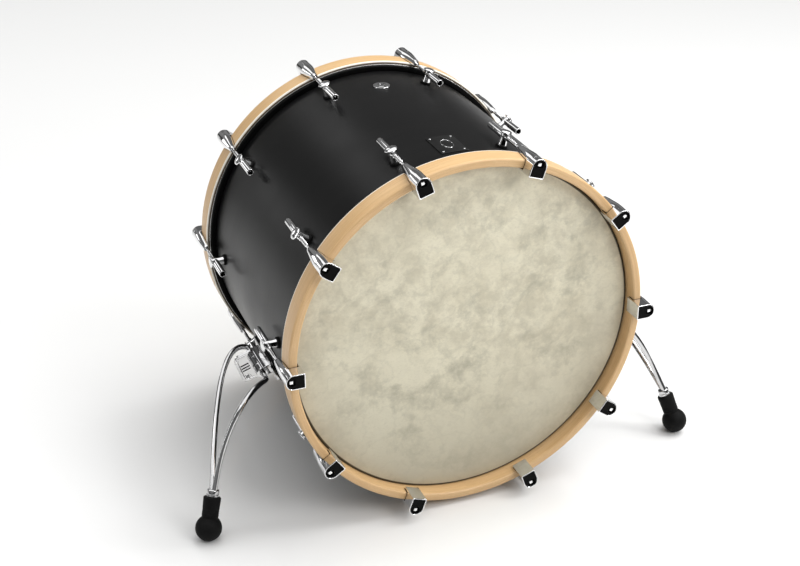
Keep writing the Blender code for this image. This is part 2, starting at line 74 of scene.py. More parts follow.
# shell, hoops and heads
SHELL_WALL = 0.0072
SHELL_END = 0.0239
HOOP_INNER = 0.2805
HOOP_DEPTH = 0.036
HOOP_ROUND = 0.0034
HOOP_BACK_ROUND = 0.0016
HOOP_EASE = 0.0006
HEAD_FACE = 0.0232
FILM = 0.0004
COLLAR_ROUND = 0.0042
COLLAR_INNER = SHELL_RADIUS + GAP
FLESH_OUTER = 0.2893
FLESH_LIP = 0.0376
FLESH_END = 0.0445

# rods, lugs and claws at the top station; CLAW_SECTIONS has (inset, station), GASKET_WIDTHS
# (station, half width) and HOOD_SECTIONS (station, half width, height of the sides, top)
ROD_LINE = 0.2970
SHANK_RADIUS = 0.0025
THREAD_RADIUS = 0.0030
THREAD_ROOT = 0.0025
THREAD_PITCH = 0.00106
THREAD_START = 0.0600
THREAD_END = 0.0860
ROUND_CENTRE = 0.2935
CLAW_HALF_WIDTH = 0.0125
CLAW_FLAT = 0.2755
CLAW_SECTIONS = (
    (0.0006, -GAP - 0.0009),
    (0.0000, -GAP - 0.0015),
    (0.0000, -0.0229),
    (0.0003, -0.0233),
    (0.0007, -0.0235),
    (0.0012, -0.0235),
    (0.0015, -0.0231),
    (0.0015, -0.0190),
)
GASKET_WIDTHS = ((-0.0005, 0.0123), (0.0080, 0.0117), (0.0180, 0.0102), (0.0280, 0.0085), (0.0355, 0.0073))
HOOD_BOTTOM = 0.2948
HOOD_SECTIONS = (
    (-0.0120, 0.0120, 0.0030, 0.3056),
    (0.0000, 0.0120, 0.0034, 0.3060),
    (0.0080, 0.0114, 0.0036, 0.3059),
    (0.0180, 0.0099, 0.0036, 0.3053),
    (0.0280, 0.0082, 0.0033, 0.3045),
    (0.0380, 0.0066, 0.0028, 0.3036),
    (0.0450, 0.0057, 0.0024, 0.3029),
    (0.0470, 0.0052, 0.0016, 0.3020),
)
POST_STATION = 0.0990
TUBE_END = 0.1500

# badge and vent
BADGE_STATION = 0.107
BADGE_HALF_LENGTH = 0.032
BADGE_HALF_ANGLE = 4.5
BADGE_THICKNESS = 0.0012
VENT_STATION = 0.384
VENT_HOLE = 0.0063

# spurs, +X side
PIVOT = Vector((0.2846, 0.2140, -0.0979))
PIVOT_FRONT = 0.1575
PIVOT_REAR = 0.2705
PIVOT_LINE = math.hypot(PIVOT.x, PIVOT.z)
LEG_RADIUS = 0.0045
BOW_UPPER = (0.3382, -0.0627)
BOW_LOWER = (0.3784, -0.1587)
BALL_CENTRE = Vector((0.4179, 0.0582, -0.2820))
BALL_RADIUS = 0.0210
STEM_VECTOR = Vector((-0.01325, 0.01610, 0.04506))
SLEEVE_TOP = 0.0497
SLEEVE_RADIUS = 0.0140
NECK_RADIUS = 0.0128
STEM_RADIUS = 0.0038
STEM_BORE = 0.0043
RING_RADIUS = 0.0098
RING_EDGE = 0.0088
RING_HEIGHT = 0.0040
HUB_HEIGHT = 0.0075
HUB_RADIUS = 0.0097
LEG_STEPS = (1.0, 0.80, 0.60, 0.42, 0.26, 0.12, 0.0)
BRACKET_FRONT = 0.179
BRACKET_REAR = 0.249
SADDLE_OVERHANG = 0.009
SADDLE_THICKNESS = 0.0045
SADDLE_HALF_ANGLE = 4.1
PAD_THICKNESS = 0.0018
PAD_HALF_ANGLE = 4.6
BARREL_RADIUS = 0.0097
BARREL_GROOVE = 0.0088
SHAFT_BORE = 0.0050
PLATE_STATION = 0.2085
PLATE_THICKNESS = 0.0045
PLATE_LOW = -0.0300
PLATE_HIGH = 0.0225
PLATE_TOP = PIVOT_LINE + 0.0330
SCREW_OFFSET = 0.0143
SCREW_RISE = 0.0230
SCREW_HOLE = 0.0028


# ---- mesh helpers

def bridge(bm, lower, upper, closed=True):
    """Faces between two loops of vertices; a loop of one vertex is a pole."""
    count = max(len(lower), len(upper))
    for i in range(count if closed else count - 1):
        j = (i + 1) % count
        if len(lower) == 1:
            bm.faces.new((lower[0], upper[i], upper[j]))
        elif len(upper) == 1:
            bm.faces.new((lower[i], upper[0], lower[j]))
        else:
            bm.faces.new((lower[i], upper[i], upper[j], lower[j]))


def lathe(profile, segments=ROUND, closed=True):
    """Revolve (radius, height) points about +Z."""
    bm = bmesh.new()
    turns = [2.0 * math.pi * i / segments for i in range(segments)]
    rings = []
    for radius, height in profile:
        if radius == 0.0:
            rings.append([bm.verts.new((0.0, 0.0, height))])
        else:
            ring = [bm.verts.new((radius * math.cos(t), radius * math.sin(t), height)) for t in turns]
            rings.append(ring)
    for lower, upper in zip(rings, rings[1:]):
        bridge(bm, lower, upper)
    if closed:
        bridge(bm, rings[-1], rings[0])
    bmesh.ops.recalc_face_normals(bm, faces=bm.faces)
    return bm


def loft(sections):
    """Closed solid through matching loops of points."""
    bm = bmesh.new()
    loops = [[bm.verts.new(point) for point in section] for section in sections]
    for lower, upper in zip(loops, loops[1:]):
        bridge(bm, lower, upper)
    bm.faces.new(loops[0])
    bm.faces.new(loops[-1])
    bmesh.ops.recalc_face_normals(bm, faces=bm.faces)
    return bm


def sweep(path, radius, sides=24):
    """Round rod along a list of points."""
    sections = []
    turns = [2.0 * math.pi * i / sides for i in range(sides)]
    start = (path[1] - path[0]).normalized()
    reference = Vector((1.0, 0.0, 0.0)) if abs(start.z) > 0.9 else Vector((0.0, 0.0, 1.0))
    for before, point, after in zip(path[:1] + path, path, path[1:] + path[-1:]):
        tangent = (after - before).normalized()
        across = (reference - tangent * reference.dot(tangent)).normalized()
        other = tangent.cross(across)
        reference = across
        sections.append([point + radius * (math.cos(t) * across + math.sin(t) * other) for t in turns])
    return loft(sections)


def fillet(points, radii, steps=4, closed=True):
    """Round the corners of a polyline of 2-D points; a radius of 0 keeps a corner."""
    result = []
    count = len(points)
    for i, (point, radius) in enumerate(zip(points, radii)):
        ends = not closed and i in (0, count - 1)
        if radius == 0.0 or ends:
            result.append(tuple(point))
            continue
        corner = Vector(point)
        before = (Vector(points[i - 1]) - corner).normalized()
        after = (Vector(points[(i + 1) % count]) - corner).normalized()
        half = 0.5 * before.angle(after)
        reach = radius / math.tan(half)
        centre = corner + (before + after).normalized() * (radius / math.sin(half))
        first = corner + before * reach - centre
        last = corner + after * reach - centre
        for step in range(steps + 1):
            arm = first.lerp(last, step / steps)
            result.append(tuple(centre + arm.normalized() * radius))
    return result


def cutter(radius, low, high, segments=32):
    """Plain cylinder about +Z for a Boolean cut."""
    return lathe([(0.0, low), (radius, low), (radius, high), (0.0, high)], segments, False)


def along(station):
    """Shift along the drum axis."""
    return Matrix.Translation((0.0, station, 0.0))


def turned(bm, matrix):
    """Transform a bmesh in place and return it."""
    bmesh.ops.transform(bm, matrix=matrix, verts=bm.verts)
    if matrix.determinant() < 0.0:
        bmesh.ops.reverse_faces(bm, faces=bm.faces)
    return bm


def joined(parts):
    """One bmesh holding all the parts, which are freed."""
    result = bmesh.new()
    for part in parts:
        mesh = bpy.data.meshes.new("part")
        part.to_mesh(mesh)
        part.free()
        result.from_mesh(mesh)
        bpy.data.meshes.remove(mesh)
    return result


def soft_box(low, high, bevel):
    """Box between two corners with rounded edges."""
    bm = bmesh.new()
    bmesh.ops.create_cube(bm, size=1.0)
    size = Vector(high) - Vector(low)
    middle = 0.5 * (Vector(high) + Vector(low))
    place = Matrix.Translation(middle) @ Matrix.Diagonal((*size, 1.0))
    bmesh.ops.transform(bm, matrix=place, verts=bm.verts)
    bmesh.ops.bevel(bm, geom=bm.edges[:], offset=bevel, segments=2, profile=0.5, affect="EDGES")
    return bm


def combine(first, others, operation):
    """Exact Boolean of one bmesh with others, all freed; returns a new bmesh."""
    items = []
    for bm in [first, *others]:
        mesh = bpy.data.meshes.new("solid")
        bm.to_mesh(mesh)
        bm.free()
        item = bpy.data.objects.new("solid", mesh)
        bpy.context.scene.collection.objects.link(item)
        items.append(item)
    target = items[0]
    for other in items[1:]:
        modifier = target.modifiers.new("Combine", "BOOLEAN")
        modifier.operation = operation
        modifier.solver = "EXACT"
        modifier.object = other
    depsgraph = bpy.context.evaluated_depsgraph_get()
    result = bmesh.new()
    result.from_mesh(target.evaluated_get(depsgraph).to_mesh())
    for item in items:
        bpy.data.objects.remove(item, do_unlink=True)
    return result


def shell_sector(inner, outer, half_angle, front, rear, bevel):
    """Curved plate about the drum axis, centred on +Z, with bevelled outer edges."""
    steps = 16
    rim = math.radians(half_angle)
    wall = outer - bevel

    def section(station, inset, lift):
        angle = rim - inset / outer
        turns = [angle * (2.0 * i / steps - 1.0) for i in range(steps + 1)]
        lower = [(inner * math.sin(a), station, inner * math.cos(a)) for a in turns]
        top = outer - lift
        upper = [(top * math.sin(a), station, top * math.cos(a)) for a in reversed(turns)]
        side = rim - (inset - bevel) / outer
        x, z = wall * math.sin(side), wall * math.cos(side)
        return [*lower, (x, station, z), *upper, (-x, station, z)]

    return loft([
        section(front, 2.0 * bevel, bevel),
        section(front + bevel, bevel, 0.0),
        section(rear - bevel, bevel, 0.0),
        section(rear, 2.0 * bevel, bevel),
    ])


def new_piece(name, bm, material, node, body="drum", matrix=None, sharp=32.0):
    """Make a piece: bm is in its own frame, matrix carries it into the drum's frame."""
    mesh = bpy.data.meshes.new(name)
    bm.to_mesh(mesh)
    values = np.empty(len(mesh.vertices) * 3, np.float32)
    mesh.vertices.foreach_get("co", values)
    local = mesh.attributes.new("local", "FLOAT_VECTOR", "POINT")
    local.data.foreach_set("vector", values)
    place = STAND @ (matrix or Matrix.Identity(4))
    mesh.transform(place)
    if place.determinant() < 0.0:
        mesh.flip_normals()
    mesh.materials.append(MATERIALS[material])
    mesh.polygons.foreach_set("use_smooth", [True] * len(mesh.polygons))
    mesh.set_sharp_from_angle(angle=math.radians(sharp))
    item = bpy.data.objects.new(name, mesh)
    bpy.context.scene.collection.objects.link(item)
    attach(item, body)
    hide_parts(node)


# ---- materials

class Painter:
    """Builds one node material around a Principled shader, from a plain colour and roughness."""

    def __init__(self, name, colour, metallic=0.0, roughness=0.5):
        self.material = bpy.data.materials.new(name)
        self.material.use_nodes = True
        self.tree = self.material.node_tree
        self.shader = self.tree.nodes["Principled BSDF"]
        self.set("Base Color", (*colour, 1.0))
        self.set("Metallic", metallic)
        self.set("Roughness", roughness)
        attribute = self.add("ShaderNodeAttribute", attribute_name="local")
        self.local = attribute.outputs["Vector"]

    def feed(self, socket, value):
        """Link a value's socket to an input, or set the input's constant."""
        if isinstance(value, bpy.types.NodeSocket):
            self.tree.links.new(value, socket)
        else:
            socket.default_value = value

    def set(self, name, value):
        """Constant or link on the shader."""
        self.feed(self.shader.inputs[name], value)

    def add(self, kind, inputs=None, **settings):
        """New node with its settings and inputs."""
        node = self.tree.nodes.new(kind)
        for key, value in settings.items():
            setattr(node, key, value)
        for key, value in (inputs or {}).items():
            self.feed(node.inputs[key], value)
        return node

    def math(self, operation, a, b=0.0, c=0.0):
        """Result of a Math node."""
        return self.add("ShaderNodeMath", {0: a, 1: b, 2: c}, operation=operation).outputs[0]

    def scaled(self, vector, factors):
        """Vector times constant factors."""
        node = self.add("ShaderNodeVectorMath", {0: vector, 1: factors}, operation="MULTIPLY")
        return node.outputs[0]

    def noise(self, vector, scale, detail=3.0, roughness=0.55):
        """Noise factor."""
        node = self.add("ShaderNodeTexNoise", {
            "Vector": vector,
            "Scale": scale,
            "Detail": detail,
            "Roughness": roughness,
        })
        return node.outputs["Fac"]

    def span(self, value, low, high, to_low=0.0, to_high=1.0):
        """Clamped linear map of a factor."""
        node = self.add("ShaderNodeMapRange", {
            "Value": value,
            "From Min": low,
            "From Max": high,
            "To Min": to_low,
            "To Max": to_high,
        })
        return node.outputs[0]

    def mix(self, factor, a, b):
        """Colour mix; a constant colour is a tuple of red, green and blue."""
        a, b = [(*colour, 1.0) if isinstance(colour, tuple) else colour for colour in (a, b)]
        return self.add("ShaderNodeMix", {0: factor, 6: a, 7: b}, data_type="RGBA").outputs[2]

    def bump(self, height, strength, distance):
        """Bump on the shader's normal."""
        node = self.add("ShaderNodeBump", {"Height": height, "Strength": strength, "Distance": distance})
        self.set("Normal", node.outputs["Normal"])

    def polar(self, radius):
        """Arc length round the drum, station and radius as sockets; the seam is at the bottom."""
        parts = self.add("ShaderNodeSeparateXYZ", {0: self.local}).outputs
        angle = self.math("ARCTAN2", parts[0], parts[2])
        arc = self.math("MULTIPLY", angle, radius)
        square = self.math("ADD", self.math("MULTIPLY", parts[0], parts[0]),
                           self.math("MULTIPLY", parts[2], parts[2]))
        return arc, parts[1], self.math("SQRT", square)

    def vector(self, x, y, z):
        """Vector from three sockets."""
        return self.add("ShaderNodeCombineXYZ", {0: x, 1: y, 2: z}).outputs[0]


def shell_material():
    """Satin black lacquer over ply, with faint grain round the shell."""
    paint = Painter("satin_black_shell", (0.012, 0.012, 0.0125), roughness=0.36)
    arc, station, radius = paint.polar(SHELL_RADIUS)
    grain_space = paint.scaled(paint.vector(arc, station, radius), (9.0, 260.0, 40.0))
    grain = paint.noise(grain_space, 1.0, detail=5.0)
    cloud = paint.noise(paint.local, 7.0, detail=2.0)
    dust = paint.noise(paint.local, 900.0, detail=1.0)
    tone = paint.mix(paint.span(grain, 0.35, 0.7), (0.0040, 0.0040, 0.0042), (0.0066, 0.0065, 0.0064))
    specks = paint.span(dust, 0.72, 0.80, 0.0, 0.35)
    paint.set("Base Color", paint.mix(specks, tone, (0.030, 0.029, 0.028)))
    rough = paint.math("ADD", paint.span(cloud, 0.3, 0.7, 0.30, 0.37),
                       paint.span(grain, 0.3, 0.7, 0.0, 0.03))
    paint.set("Roughness", rough)
    height = paint.math("ADD", paint.math("MULTIPLY", grain, 0.6), paint.math("MULTIPLY", dust, 0.4))
    paint.bump(height, 0.06, 0.0004)
    paint.set("IOR", 1.28)
    return paint.material


def maple_material():
    """Clear-coated maple: streaks round the hoop, ply lines, a painted highlight along the back rim and
    painted shade on the back face.
    """
    paint = Painter("maple_hoop", (0.66, 0.45, 0.24), roughness=0.42)
    arc, station, radius = paint.polar(HOOP_OUTER)
    place = paint.vector(arc, station, radius)
    warp = paint.noise(paint.scaled(place, (14.0, 60.0, 60.0)), 1.0, detail=2.0)
    bent = paint.vector(arc, paint.math("MULTIPLY_ADD", warp, 0.010, station), radius)
    streak = paint.noise(paint.scaled(bent, (11.0, 420.0, 500.0)), 1.0, detail=4.0, roughness=0.6)
    fine = paint.noise(paint.scaled(bent, (60.0, 2200.0, 2400.0)), 1.0, detail=3.0)
    broad = paint.noise(paint.scaled(place, (5.0, 70.0, 120.0)), 1.0, detail=3.0)
    pores = paint.noise(paint.scaled(place, (160.0, 1500.0, 1500.0)), 1.0, detail=1.0)
    tone = paint.mix(paint.span(streak, 0.34, 0.66), (0.590, 0.374, 0.172), (0.690, 0.464, 0.238))
    tone = paint.mix(paint.span(broad, 0.45, 0.75, 0.0, 0.55), tone, (0.650, 0.396, 0.175))
    tone = paint.mix(paint.span(fine, 0.52, 0.70, 0.0, 0.18), tone, (0.420, 0.250, 0.120))
    tone = paint.mix(paint.span(pores, 0.68, 0.76, 0.0, 0.5), tone, (0.300, 0.170, 0.080))
    ply_pitch = 0.00115
    ply = paint.math("SINE", paint.math("MULTIPLY", radius, 2.0 * math.pi / ply_pitch))
    inside = paint.math("MULTIPLY", paint.span(radius, HOOP_OUTER - 0.0012, HOOP_OUTER - 0.0006, 1.0, 0.0),
                        paint.span(ply, 0.55, 0.95, 0.0, 0.42))
    tone = paint.mix(inside, tone, (0.360, 0.215, 0.105))
    from_middle = paint.math("ABSOLUTE", paint.math("SUBTRACT", station, 0.5 * DEPTH))
    back = 0.5 * DEPTH - HOOP_DEPTH
    rim = paint.span(radius, HOOP_OUTER - 0.0026, HOOP_OUTER - 0.0022)
    # painted highlight: a pale line along the hoop's back outer corner stands for light caught by the
    # rounded edge
    line = back + 0.0024
    edge = paint.math("MULTIPLY", paint.span(from_middle, line, line + 0.0005, 1.0, 0.0), rim)
    tone = paint.mix(edge, tone, (0.930, 0.880, 0.780))
    # painted shade: the hoop's back face, beside the flesh hoop, is darkened almost to black where it lies
    # in shadow
    face = paint.math("MULTIPLY", paint.span(from_middle, back + 0.0001, back + 0.0004, 0.88, 0.0),
                      paint.math("SUBTRACT", 1.0, rim))
    tone = paint.mix(face, tone, (0.020, 0.016, 0.012))
    paint.set("Base Color", tone)
    paint.set("Roughness", paint.span(streak, 0.3, 0.7, 0.36, 0.48))
    paint.set("Coat Weight", 0.15)
    paint.set("Coat Roughness", 0.20)
    height = paint.math("ADD", paint.math("MULTIPLY", fine, 0.5), paint.math("MULTIPLY", streak, 0.5))
    paint.bump(height, 0.12, 0.0005)
    return paint.material


def film_material():
    """Mottled cream drum head, fibrous and cloudy, with painted shade low down and at its rim, and a painted
    shadow ring at its edge.
    """
    paint = Painter("mottled_head_film", (0.60, 0.56, 0.45), roughness=0.5)
    radius = paint.polar(SHELL_RADIUS)[2]
    warp = paint.noise(paint.local, 16.0, detail=3.0)
    shifted = paint.add("ShaderNodeVectorMath", {
        0: paint.local,
        1: paint.scaled(paint.vector(warp, warp, warp), (0.02, 0.02, -0.02)),
    }, operation="ADD").outputs[0]
    blotch = paint.noise(shifted, 40.0, detail=6.0, roughness=0.65)
    cloud = paint.noise(paint.local, 9.0, detail=3.0)
    fibre = paint.noise(paint.scaled(shifted, (1.0, 1.0, 1.6)), 240.0, detail=3.0)
    speck = paint.noise(paint.local, 620.0, detail=2.0)
    smudge = paint.noise(shifted, 17.0, detail=7.0, roughness=0.68)
    tone = paint.mix(paint.span(blotch, 0.38, 0.60), (0.540, 0.500, 0.380), (0.700, 0.658, 0.510))
    tone = paint.mix(paint.span(cloud, 0.38, 0.68, 0.0, 0.45), tone, (0.600, 0.545, 0.400))
    pale = paint.noise(paint.local, 5.5, detail=2.0)
    tone = paint.mix(paint.span(pale, 0.47, 0.60, 0.0, 0.65), tone, (0.775, 0.732, 0.570))
    tone = paint.mix(paint.span(smudge, 0.52, 0.68, 0.0, 0.82), tone, (0.385, 0.362, 0.276))
    vein = paint.math("ABSOLUTE", paint.math("SUBTRACT", paint.noise(shifted, 24.0, detail=4.0), 0.5))
    tone = paint.mix(paint.span(vein, 0.0, 0.045, 0.17, 0.0), tone, (0.340, 0.325, 0.250))
    parts = paint.add("ShaderNodeSeparateXYZ", {0: paint.local}).outputs
    # painted shade: the head grows darker towards its lower right and lower left, where less light falls
    down = paint.math("MULTIPLY", parts[2], -1.0)
    lower_right = paint.math("MULTIPLY_ADD", parts[0], 0.75, down)
    tone = paint.mix(paint.span(lower_right, 0.02, 0.28, 0.0, 0.45), tone, (0.370, 0.325, 0.235))
    lower_left = paint.math("MULTIPLY_ADD", parts[0], -0.60, down)
    tone = paint.mix(paint.span(lower_left, 0.0, 0.30, 0.0, 0.50), tone, (0.350, 0.325, 0.245))
    tone = paint.mix(paint.span(fibre, 0.50, 0.70, 0.0, 0.22), tone, (0.430, 0.385, 0.285))
    tone = paint.mix(paint.span(speck, 0.68, 0.78, 0.0, 0.30), tone, (0.380, 0.330, 0.240))
    # painted shade near the rim, where the hoop's recess shades the head, broken up by the mottling
    rim = paint.span(radius, 0.200, 0.276, 0.0, 0.30)
    ragged = paint.math("MULTIPLY", rim, paint.span(blotch, 0.30, 0.65, 1.0, 0.55))
    tone = paint.mix(ragged, tone, (0.430, 0.385, 0.290))
    # painted shadow: a near-black ring at the head's outer edge stands for the contact shadow in the gap
    # between collar and hoop
    painted_shadow_edge = 0.2754
    edge = paint.span(radius, painted_shadow_edge, painted_shadow_edge + 0.001, 0.0, 0.95)
    tone = paint.mix(edge, tone, (0.030, 0.026, 0.020))
    paint.set("Base Color", tone)
    paint.set("Roughness", paint.span(cloud, 0.3, 0.7, 0.40, 0.52))
    paint.set("Subsurface Weight", 0.08)
    paint.set("Subsurface Radius", (0.004, 0.003, 0.002))
    height = paint.math("ADD", paint.math("MULTIPLY", fibre, 0.6), paint.math("MULTIPLY", speck, 0.4))
    paint.bump(height, 0.10, 0.0004)
    return paint.material


def chrome_material(name, colour, rough_low, rough_high, bump=0.02):
    """Polished plating with fine scratches, haze and slight waviness."""
    paint = Painter(name, colour, metallic=1.0, roughness=rough_low)
    haze = paint.noise(paint.local, 60.0, detail=3.0)
    scratch = paint.noise(paint.scaled(paint.local, (3000.0, 260.0, 900.0)), 1.0, detail=2.0)
    pit = paint.noise(paint.local, 1500.0, detail=1.0)
    rough = paint.math("ADD", paint.span(haze, 0.35, 0.70, rough_low, rough_high),
                       paint.span(scratch, 0.62, 0.74, 0.0, 0.10))
    paint.set("Roughness", rough)
    dull = tuple(0.80 * channel for channel in colour)
    tone = paint.mix(paint.span(haze, 0.5, 0.8, 0.0, 0.5), colour, dull)
    paint.set("Base Color", paint.mix(paint.span(pit, 0.74, 0.80, 0.0, 0.6), tone, (0.25, 0.24, 0.23)))
    height = paint.math("ADD", paint.math("MULTIPLY", haze, 0.8), paint.math("MULTIPLY", scratch, 0.2))
    paint.bump(height, bump, 0.0006)
    return paint.material


def aluminium_material():
    """Brushed flesh hoop, lines running round the drum."""
    paint = Painter("brushed_flesh_hoop", (0.60, 0.60, 0.59), metallic=1.0, roughness=0.25)
    arc, station, radius = paint.polar(SHELL_RADIUS)
    lines = paint.noise(paint.scaled(paint.vector(arc, station, radius), (16.0, 2600.0, 2600.0)), 1.0)
    paint.set("Roughness", paint.span(lines, 0.3, 0.7, 0.18, 0.34))
    paint.set("Base Color", paint.mix(paint.span(lines, 0.4, 0.7), (0.62, 0.62, 0.61), (0.46, 0.46, 0.45)))
    paint.bump(lines, 0.08, 0.0003)
    return paint.material


def dark_material(name, colour, rough_low, rough_high, grain, bump, specular):
    """Moulded black rubber or plastic with a fine grain and slight greying."""
    paint = Painter(name, colour, roughness=rough_high)
    cloud = paint.noise(paint.local, 90.0, detail=3.0)
    fine = paint.noise(paint.local, grain, detail=2.0)
    grey = tuple(2.2 * channel for channel in colour)
    paint.set("Base Color", paint.mix(paint.span(cloud, 0.40, 0.75, 0.0, 0.7), colour, grey))
    paint.set("Roughness", paint.span(fine, 0.3, 0.7, rough_low, rough_high))
    paint.set("Specular IOR Level", specular)
    paint.bump(fine, bump, 0.0004)
    return paint.material


def floor_material():
    """Pale, slightly glossy studio floor."""
    paint = Painter("studio_floor", (0.75, 0.75, 0.745), roughness=0.22)
    position = paint.add("ShaderNodeNewGeometry").outputs["Position"]
    cloud = paint.noise(position, 2.0, detail=2.0)
    paint.set("Roughness", paint.span(cloud, 0.3, 0.7, 0.12, 0.18))
    paint.set("Specular IOR Level", 0.35)
    return paint.material


MATERIALS = {
    "shell": shell_material(),
    "maple": maple_material(),
    "film": film_material(),
    "chrome": chrome_material("chrome", (0.84, 0.84, 0.845), 0.02, 0.06),
    "spur_chrome": chrome_material("spur_chrome", (0.64, 0.64, 0.645), 0.03, 0.08),
    "aluminium": aluminium_material(),
    "plastic": dark_material("black_plastic", (0.0018, 0.0018, 0.0018), 0.34, 0.46, 1400.0, 0.05, 0.06),
    "rubber": dark_material("black_rubber", (0.0032, 0.0032, 0.0032), 0.58, 0.74, 1800.0, 0.12, 0.12),
    "badge": dark_material("badge_enamel", (0.0050, 0.0050, 0.0050), 0.16, 0.24, 700.0, 0.02, 0.40),
}


# ---- shell, hoops, heads

def about_drum_axis(profile, rear, closed=True):
    """Revolve (radius, station) points about the drum axis, mirrored for the rear end."""
    if rear:
        profile = [(radius, DEPTH - station) for radius, station in profile]
    return turned(lathe(profile, closed=closed), AXIS_TO_Y)


def build_shell():
    """Bent-ply shell with bevelled bearing edges and its vent hole."""
    slope, crest, ease = 0.0030, 0.0020, 0.0010
    half = [
        (SHELL_RADIUS - SHELL_WALL, SHELL_END + slope),
        (SHELL_RADIUS - crest, SHELL_END),
        (SHELL_RADIUS, SHELL_END + ease),
    ]
    tube = about_drum_axis(half + [(radius, DEPTH - station) for radius, station in reversed(half)], False)
    hole = turned(cutter(VENT_HOLE, 0.26, 0.29), along(VENT_STATION))
    shell = combine(tube, [hole], "DIFFERENCE")
    new_piece("drum_shell", shell, "shell", "shell")


def build_hoop(end, rear):
    """Wooden hoop with rounded face edges and eased back edges."""
    corners = [
        (HOOP_INNER, 0.0),
        (HOOP_OUTER, 0.0),
        (HOOP_OUTER, HOOP_DEPTH),
        (HOOP_INNER, HOOP_DEPTH),
    ]
    outline = fillet(corners, (HOOP_ROUND, HOOP_ROUND, HOOP_BACK_ROUND, HOOP_EASE), steps=6)
    bm = about_drum_axis(outline, rear)
    new_piece(f"wood_hoop_{end}", bm, "maple", f"hoop_{end}", sharp=50.0)


def build_head(end, rear):
    """Film with a rolled collar, and the flesh hoop that carries it: a metal lip, and behind it a black band
    standing for painted shade in the gap to the shell.
    """
    node = f"head_{end}"
    step = HOOP_DEPTH + GAP
    outer = COLLAR_INNER + FILM
    edge = fillet([(0.0, HEAD_FACE), (outer, HEAD_FACE), (outer, step)], (0.0, COLLAR_ROUND, 0.0), 8, False)
    under = fillet(
        [(COLLAR_INNER, step), (COLLAR_INNER, HEAD_FACE + FILM), (0.0, HEAD_FACE + FILM)],
        (0.0, COLLAR_ROUND - FILM, 0.0), 8, False,
    )
    rings = [(radius, HEAD_FACE) for radius in (0.06, 0.12, 0.18, 0.23)]
    film = about_drum_axis([edge[0], *rings, *edge[1:], *under], rear, closed=False)
    new_piece(f"film_{end}", film, "film", node, sharp=60.0)
    corners = [(outer, step), (FLESH_OUTER, step), (FLESH_OUTER, FLESH_LIP), (COLLAR_INNER, FLESH_LIP)]
    ring = about_drum_axis(fillet(corners, (0.0004, 0.0003, 0.0005, 0.0003)), rear)
    new_piece(f"flesh_hoop_{end}", ring, "aluminium", node, sharp=50.0)
    # painted shade: a black band behind the metal lip stands for the shadowed gap between the flesh hoop and
    # the shell
    low = FLESH_LIP - 0.0002
    outer = FLESH_OUTER - 0.0008
    corners = [(COLLAR_INNER, low), (outer, low), (outer, FLESH_END), (COLLAR_INNER, FLESH_END)]
    shade_band = about_drum_axis(fillet(corners, (0.0003, 0.0003, 0.0016, 0.0008)), rear)
    new_piece(f"flesh_shade_band_{end}", shade_band, "plastic", node, sharp=50.0)


def build_vent():
    """Grommet with a rolled flange."""
    seat = SHELL_RADIUS + GAP
    low = SHELL_RADIUS - SHELL_WALL - 0.0018
    bore, neck = 0.0045, 0.0060
    corners = [(bore, low), (neck, low), (neck, seat), (0.0145, seat - 0.0002), (0.0138, seat + 0.0017),
               (0.0066, seat + 0.0010), (bore, seat + 0.0019)]
    outline = fillet(corners, (0.0, 0.0, 0.0, 0.0004, 0.0008, 0.0006, 0.0005))
    bm = turned(lathe(outline, 64), along(VENT_STATION))
    new_piece("vent_grommet", bm, "spur_chrome", "air_vent")


def dome(radius, height, base):
    """Low domed screw head on +Z."""
    steps = 6
    edge = base + 0.0004
    turns = [0.5 * math.pi * i / steps for i in range(steps)]
    crown = [(radius * math.cos(t), edge + height * math.sin(t)) for t in turns]
    return lathe([(0.0, base), (radius, base), *crown, (0.0, edge + height)], 28, False)


def build_badge():
    """Plain black plate with a plain oval and four dome screws."""
    inner = SHELL_RADIUS + GAP
    front = BADGE_STATION - BADGE_HALF_LENGTH
    rear = BADGE_STATION + BADGE_HALF_LENGTH
    top = inner + BADGE_THICKNESS
    plate = shell_sector(inner, top, BADGE_HALF_ANGLE, front, rear, 0.0003)
    new_piece("badge_plate_body", plate, "badge", "badge_plate")
    half_across, half_along, wire = 0.0085, 0.0160, 0.00055
    oval = []
    for step in range(49):
        turn = 2.0 * math.pi * step / 48
        angle = half_across * math.cos(turn) / top
        station = BADGE_STATION + half_along * math.sin(turn)
        oval.append(Vector((top * math.sin(angle), station, top * math.cos(angle))))
    trims = [sweep(oval, wire, 8)]
    screw_across = math.radians(BADGE_HALF_ANGLE) * top - 0.0050
    for across in (-screw_across, screw_across):
        for station in (front + 0.0055, rear - 0.0055):
            spin = Matrix.Rotation(across / top, 4, "Y")
            trims.append(turned(dome(0.0017, 0.0007, top), spin @ along(station)))
    new_piece("badge_trim", joined(trims), "chrome", "badge_plate")


# ---- claws, lugs and rods

def d_outline(inset):
    """Outline of the claw's face: round outside, flat inside, shrunk by inset."""
    radius = CLAW_HALF_WIDTH - inset
    flat = CLAW_FLAT + inset
    corner = flat + 0.002
    turns = [math.pi * i / 24 for i in range(25)]
    crown = [(radius * math.cos(a), ROUND_CENTRE + radius * math.sin(a)) for a in turns]
    wall = [ROUND_CENTRE + (corner - ROUND_CENTRE) * share for share in (0.3, 0.6, 0.85)]
    foot = [(-radius, corner), (-radius, flat), (radius, flat), (radius, corner)]
    return [
        *crown,
        *[(-radius, z) for z in wall],
        *fillet(foot, (0.0, 0.0016, 0.0016, 0.0), 4, False),
        *[(radius, z) for z in reversed(wall)],
    ]


def at_station(outline, station):
    """2-D outline placed at a station along the drum."""
    return [(x, station, z) for x, z in outline]


def ring_outline(radius):
    """Circle about the rod line, its points facing those of d_outline."""
    points = []
    for x, z in d_outline(0.0):
        away = Vector((x, z - ROD_LINE)).normalized() * radius
        points.append((away.x, ROD_LINE + away.y))
    return points


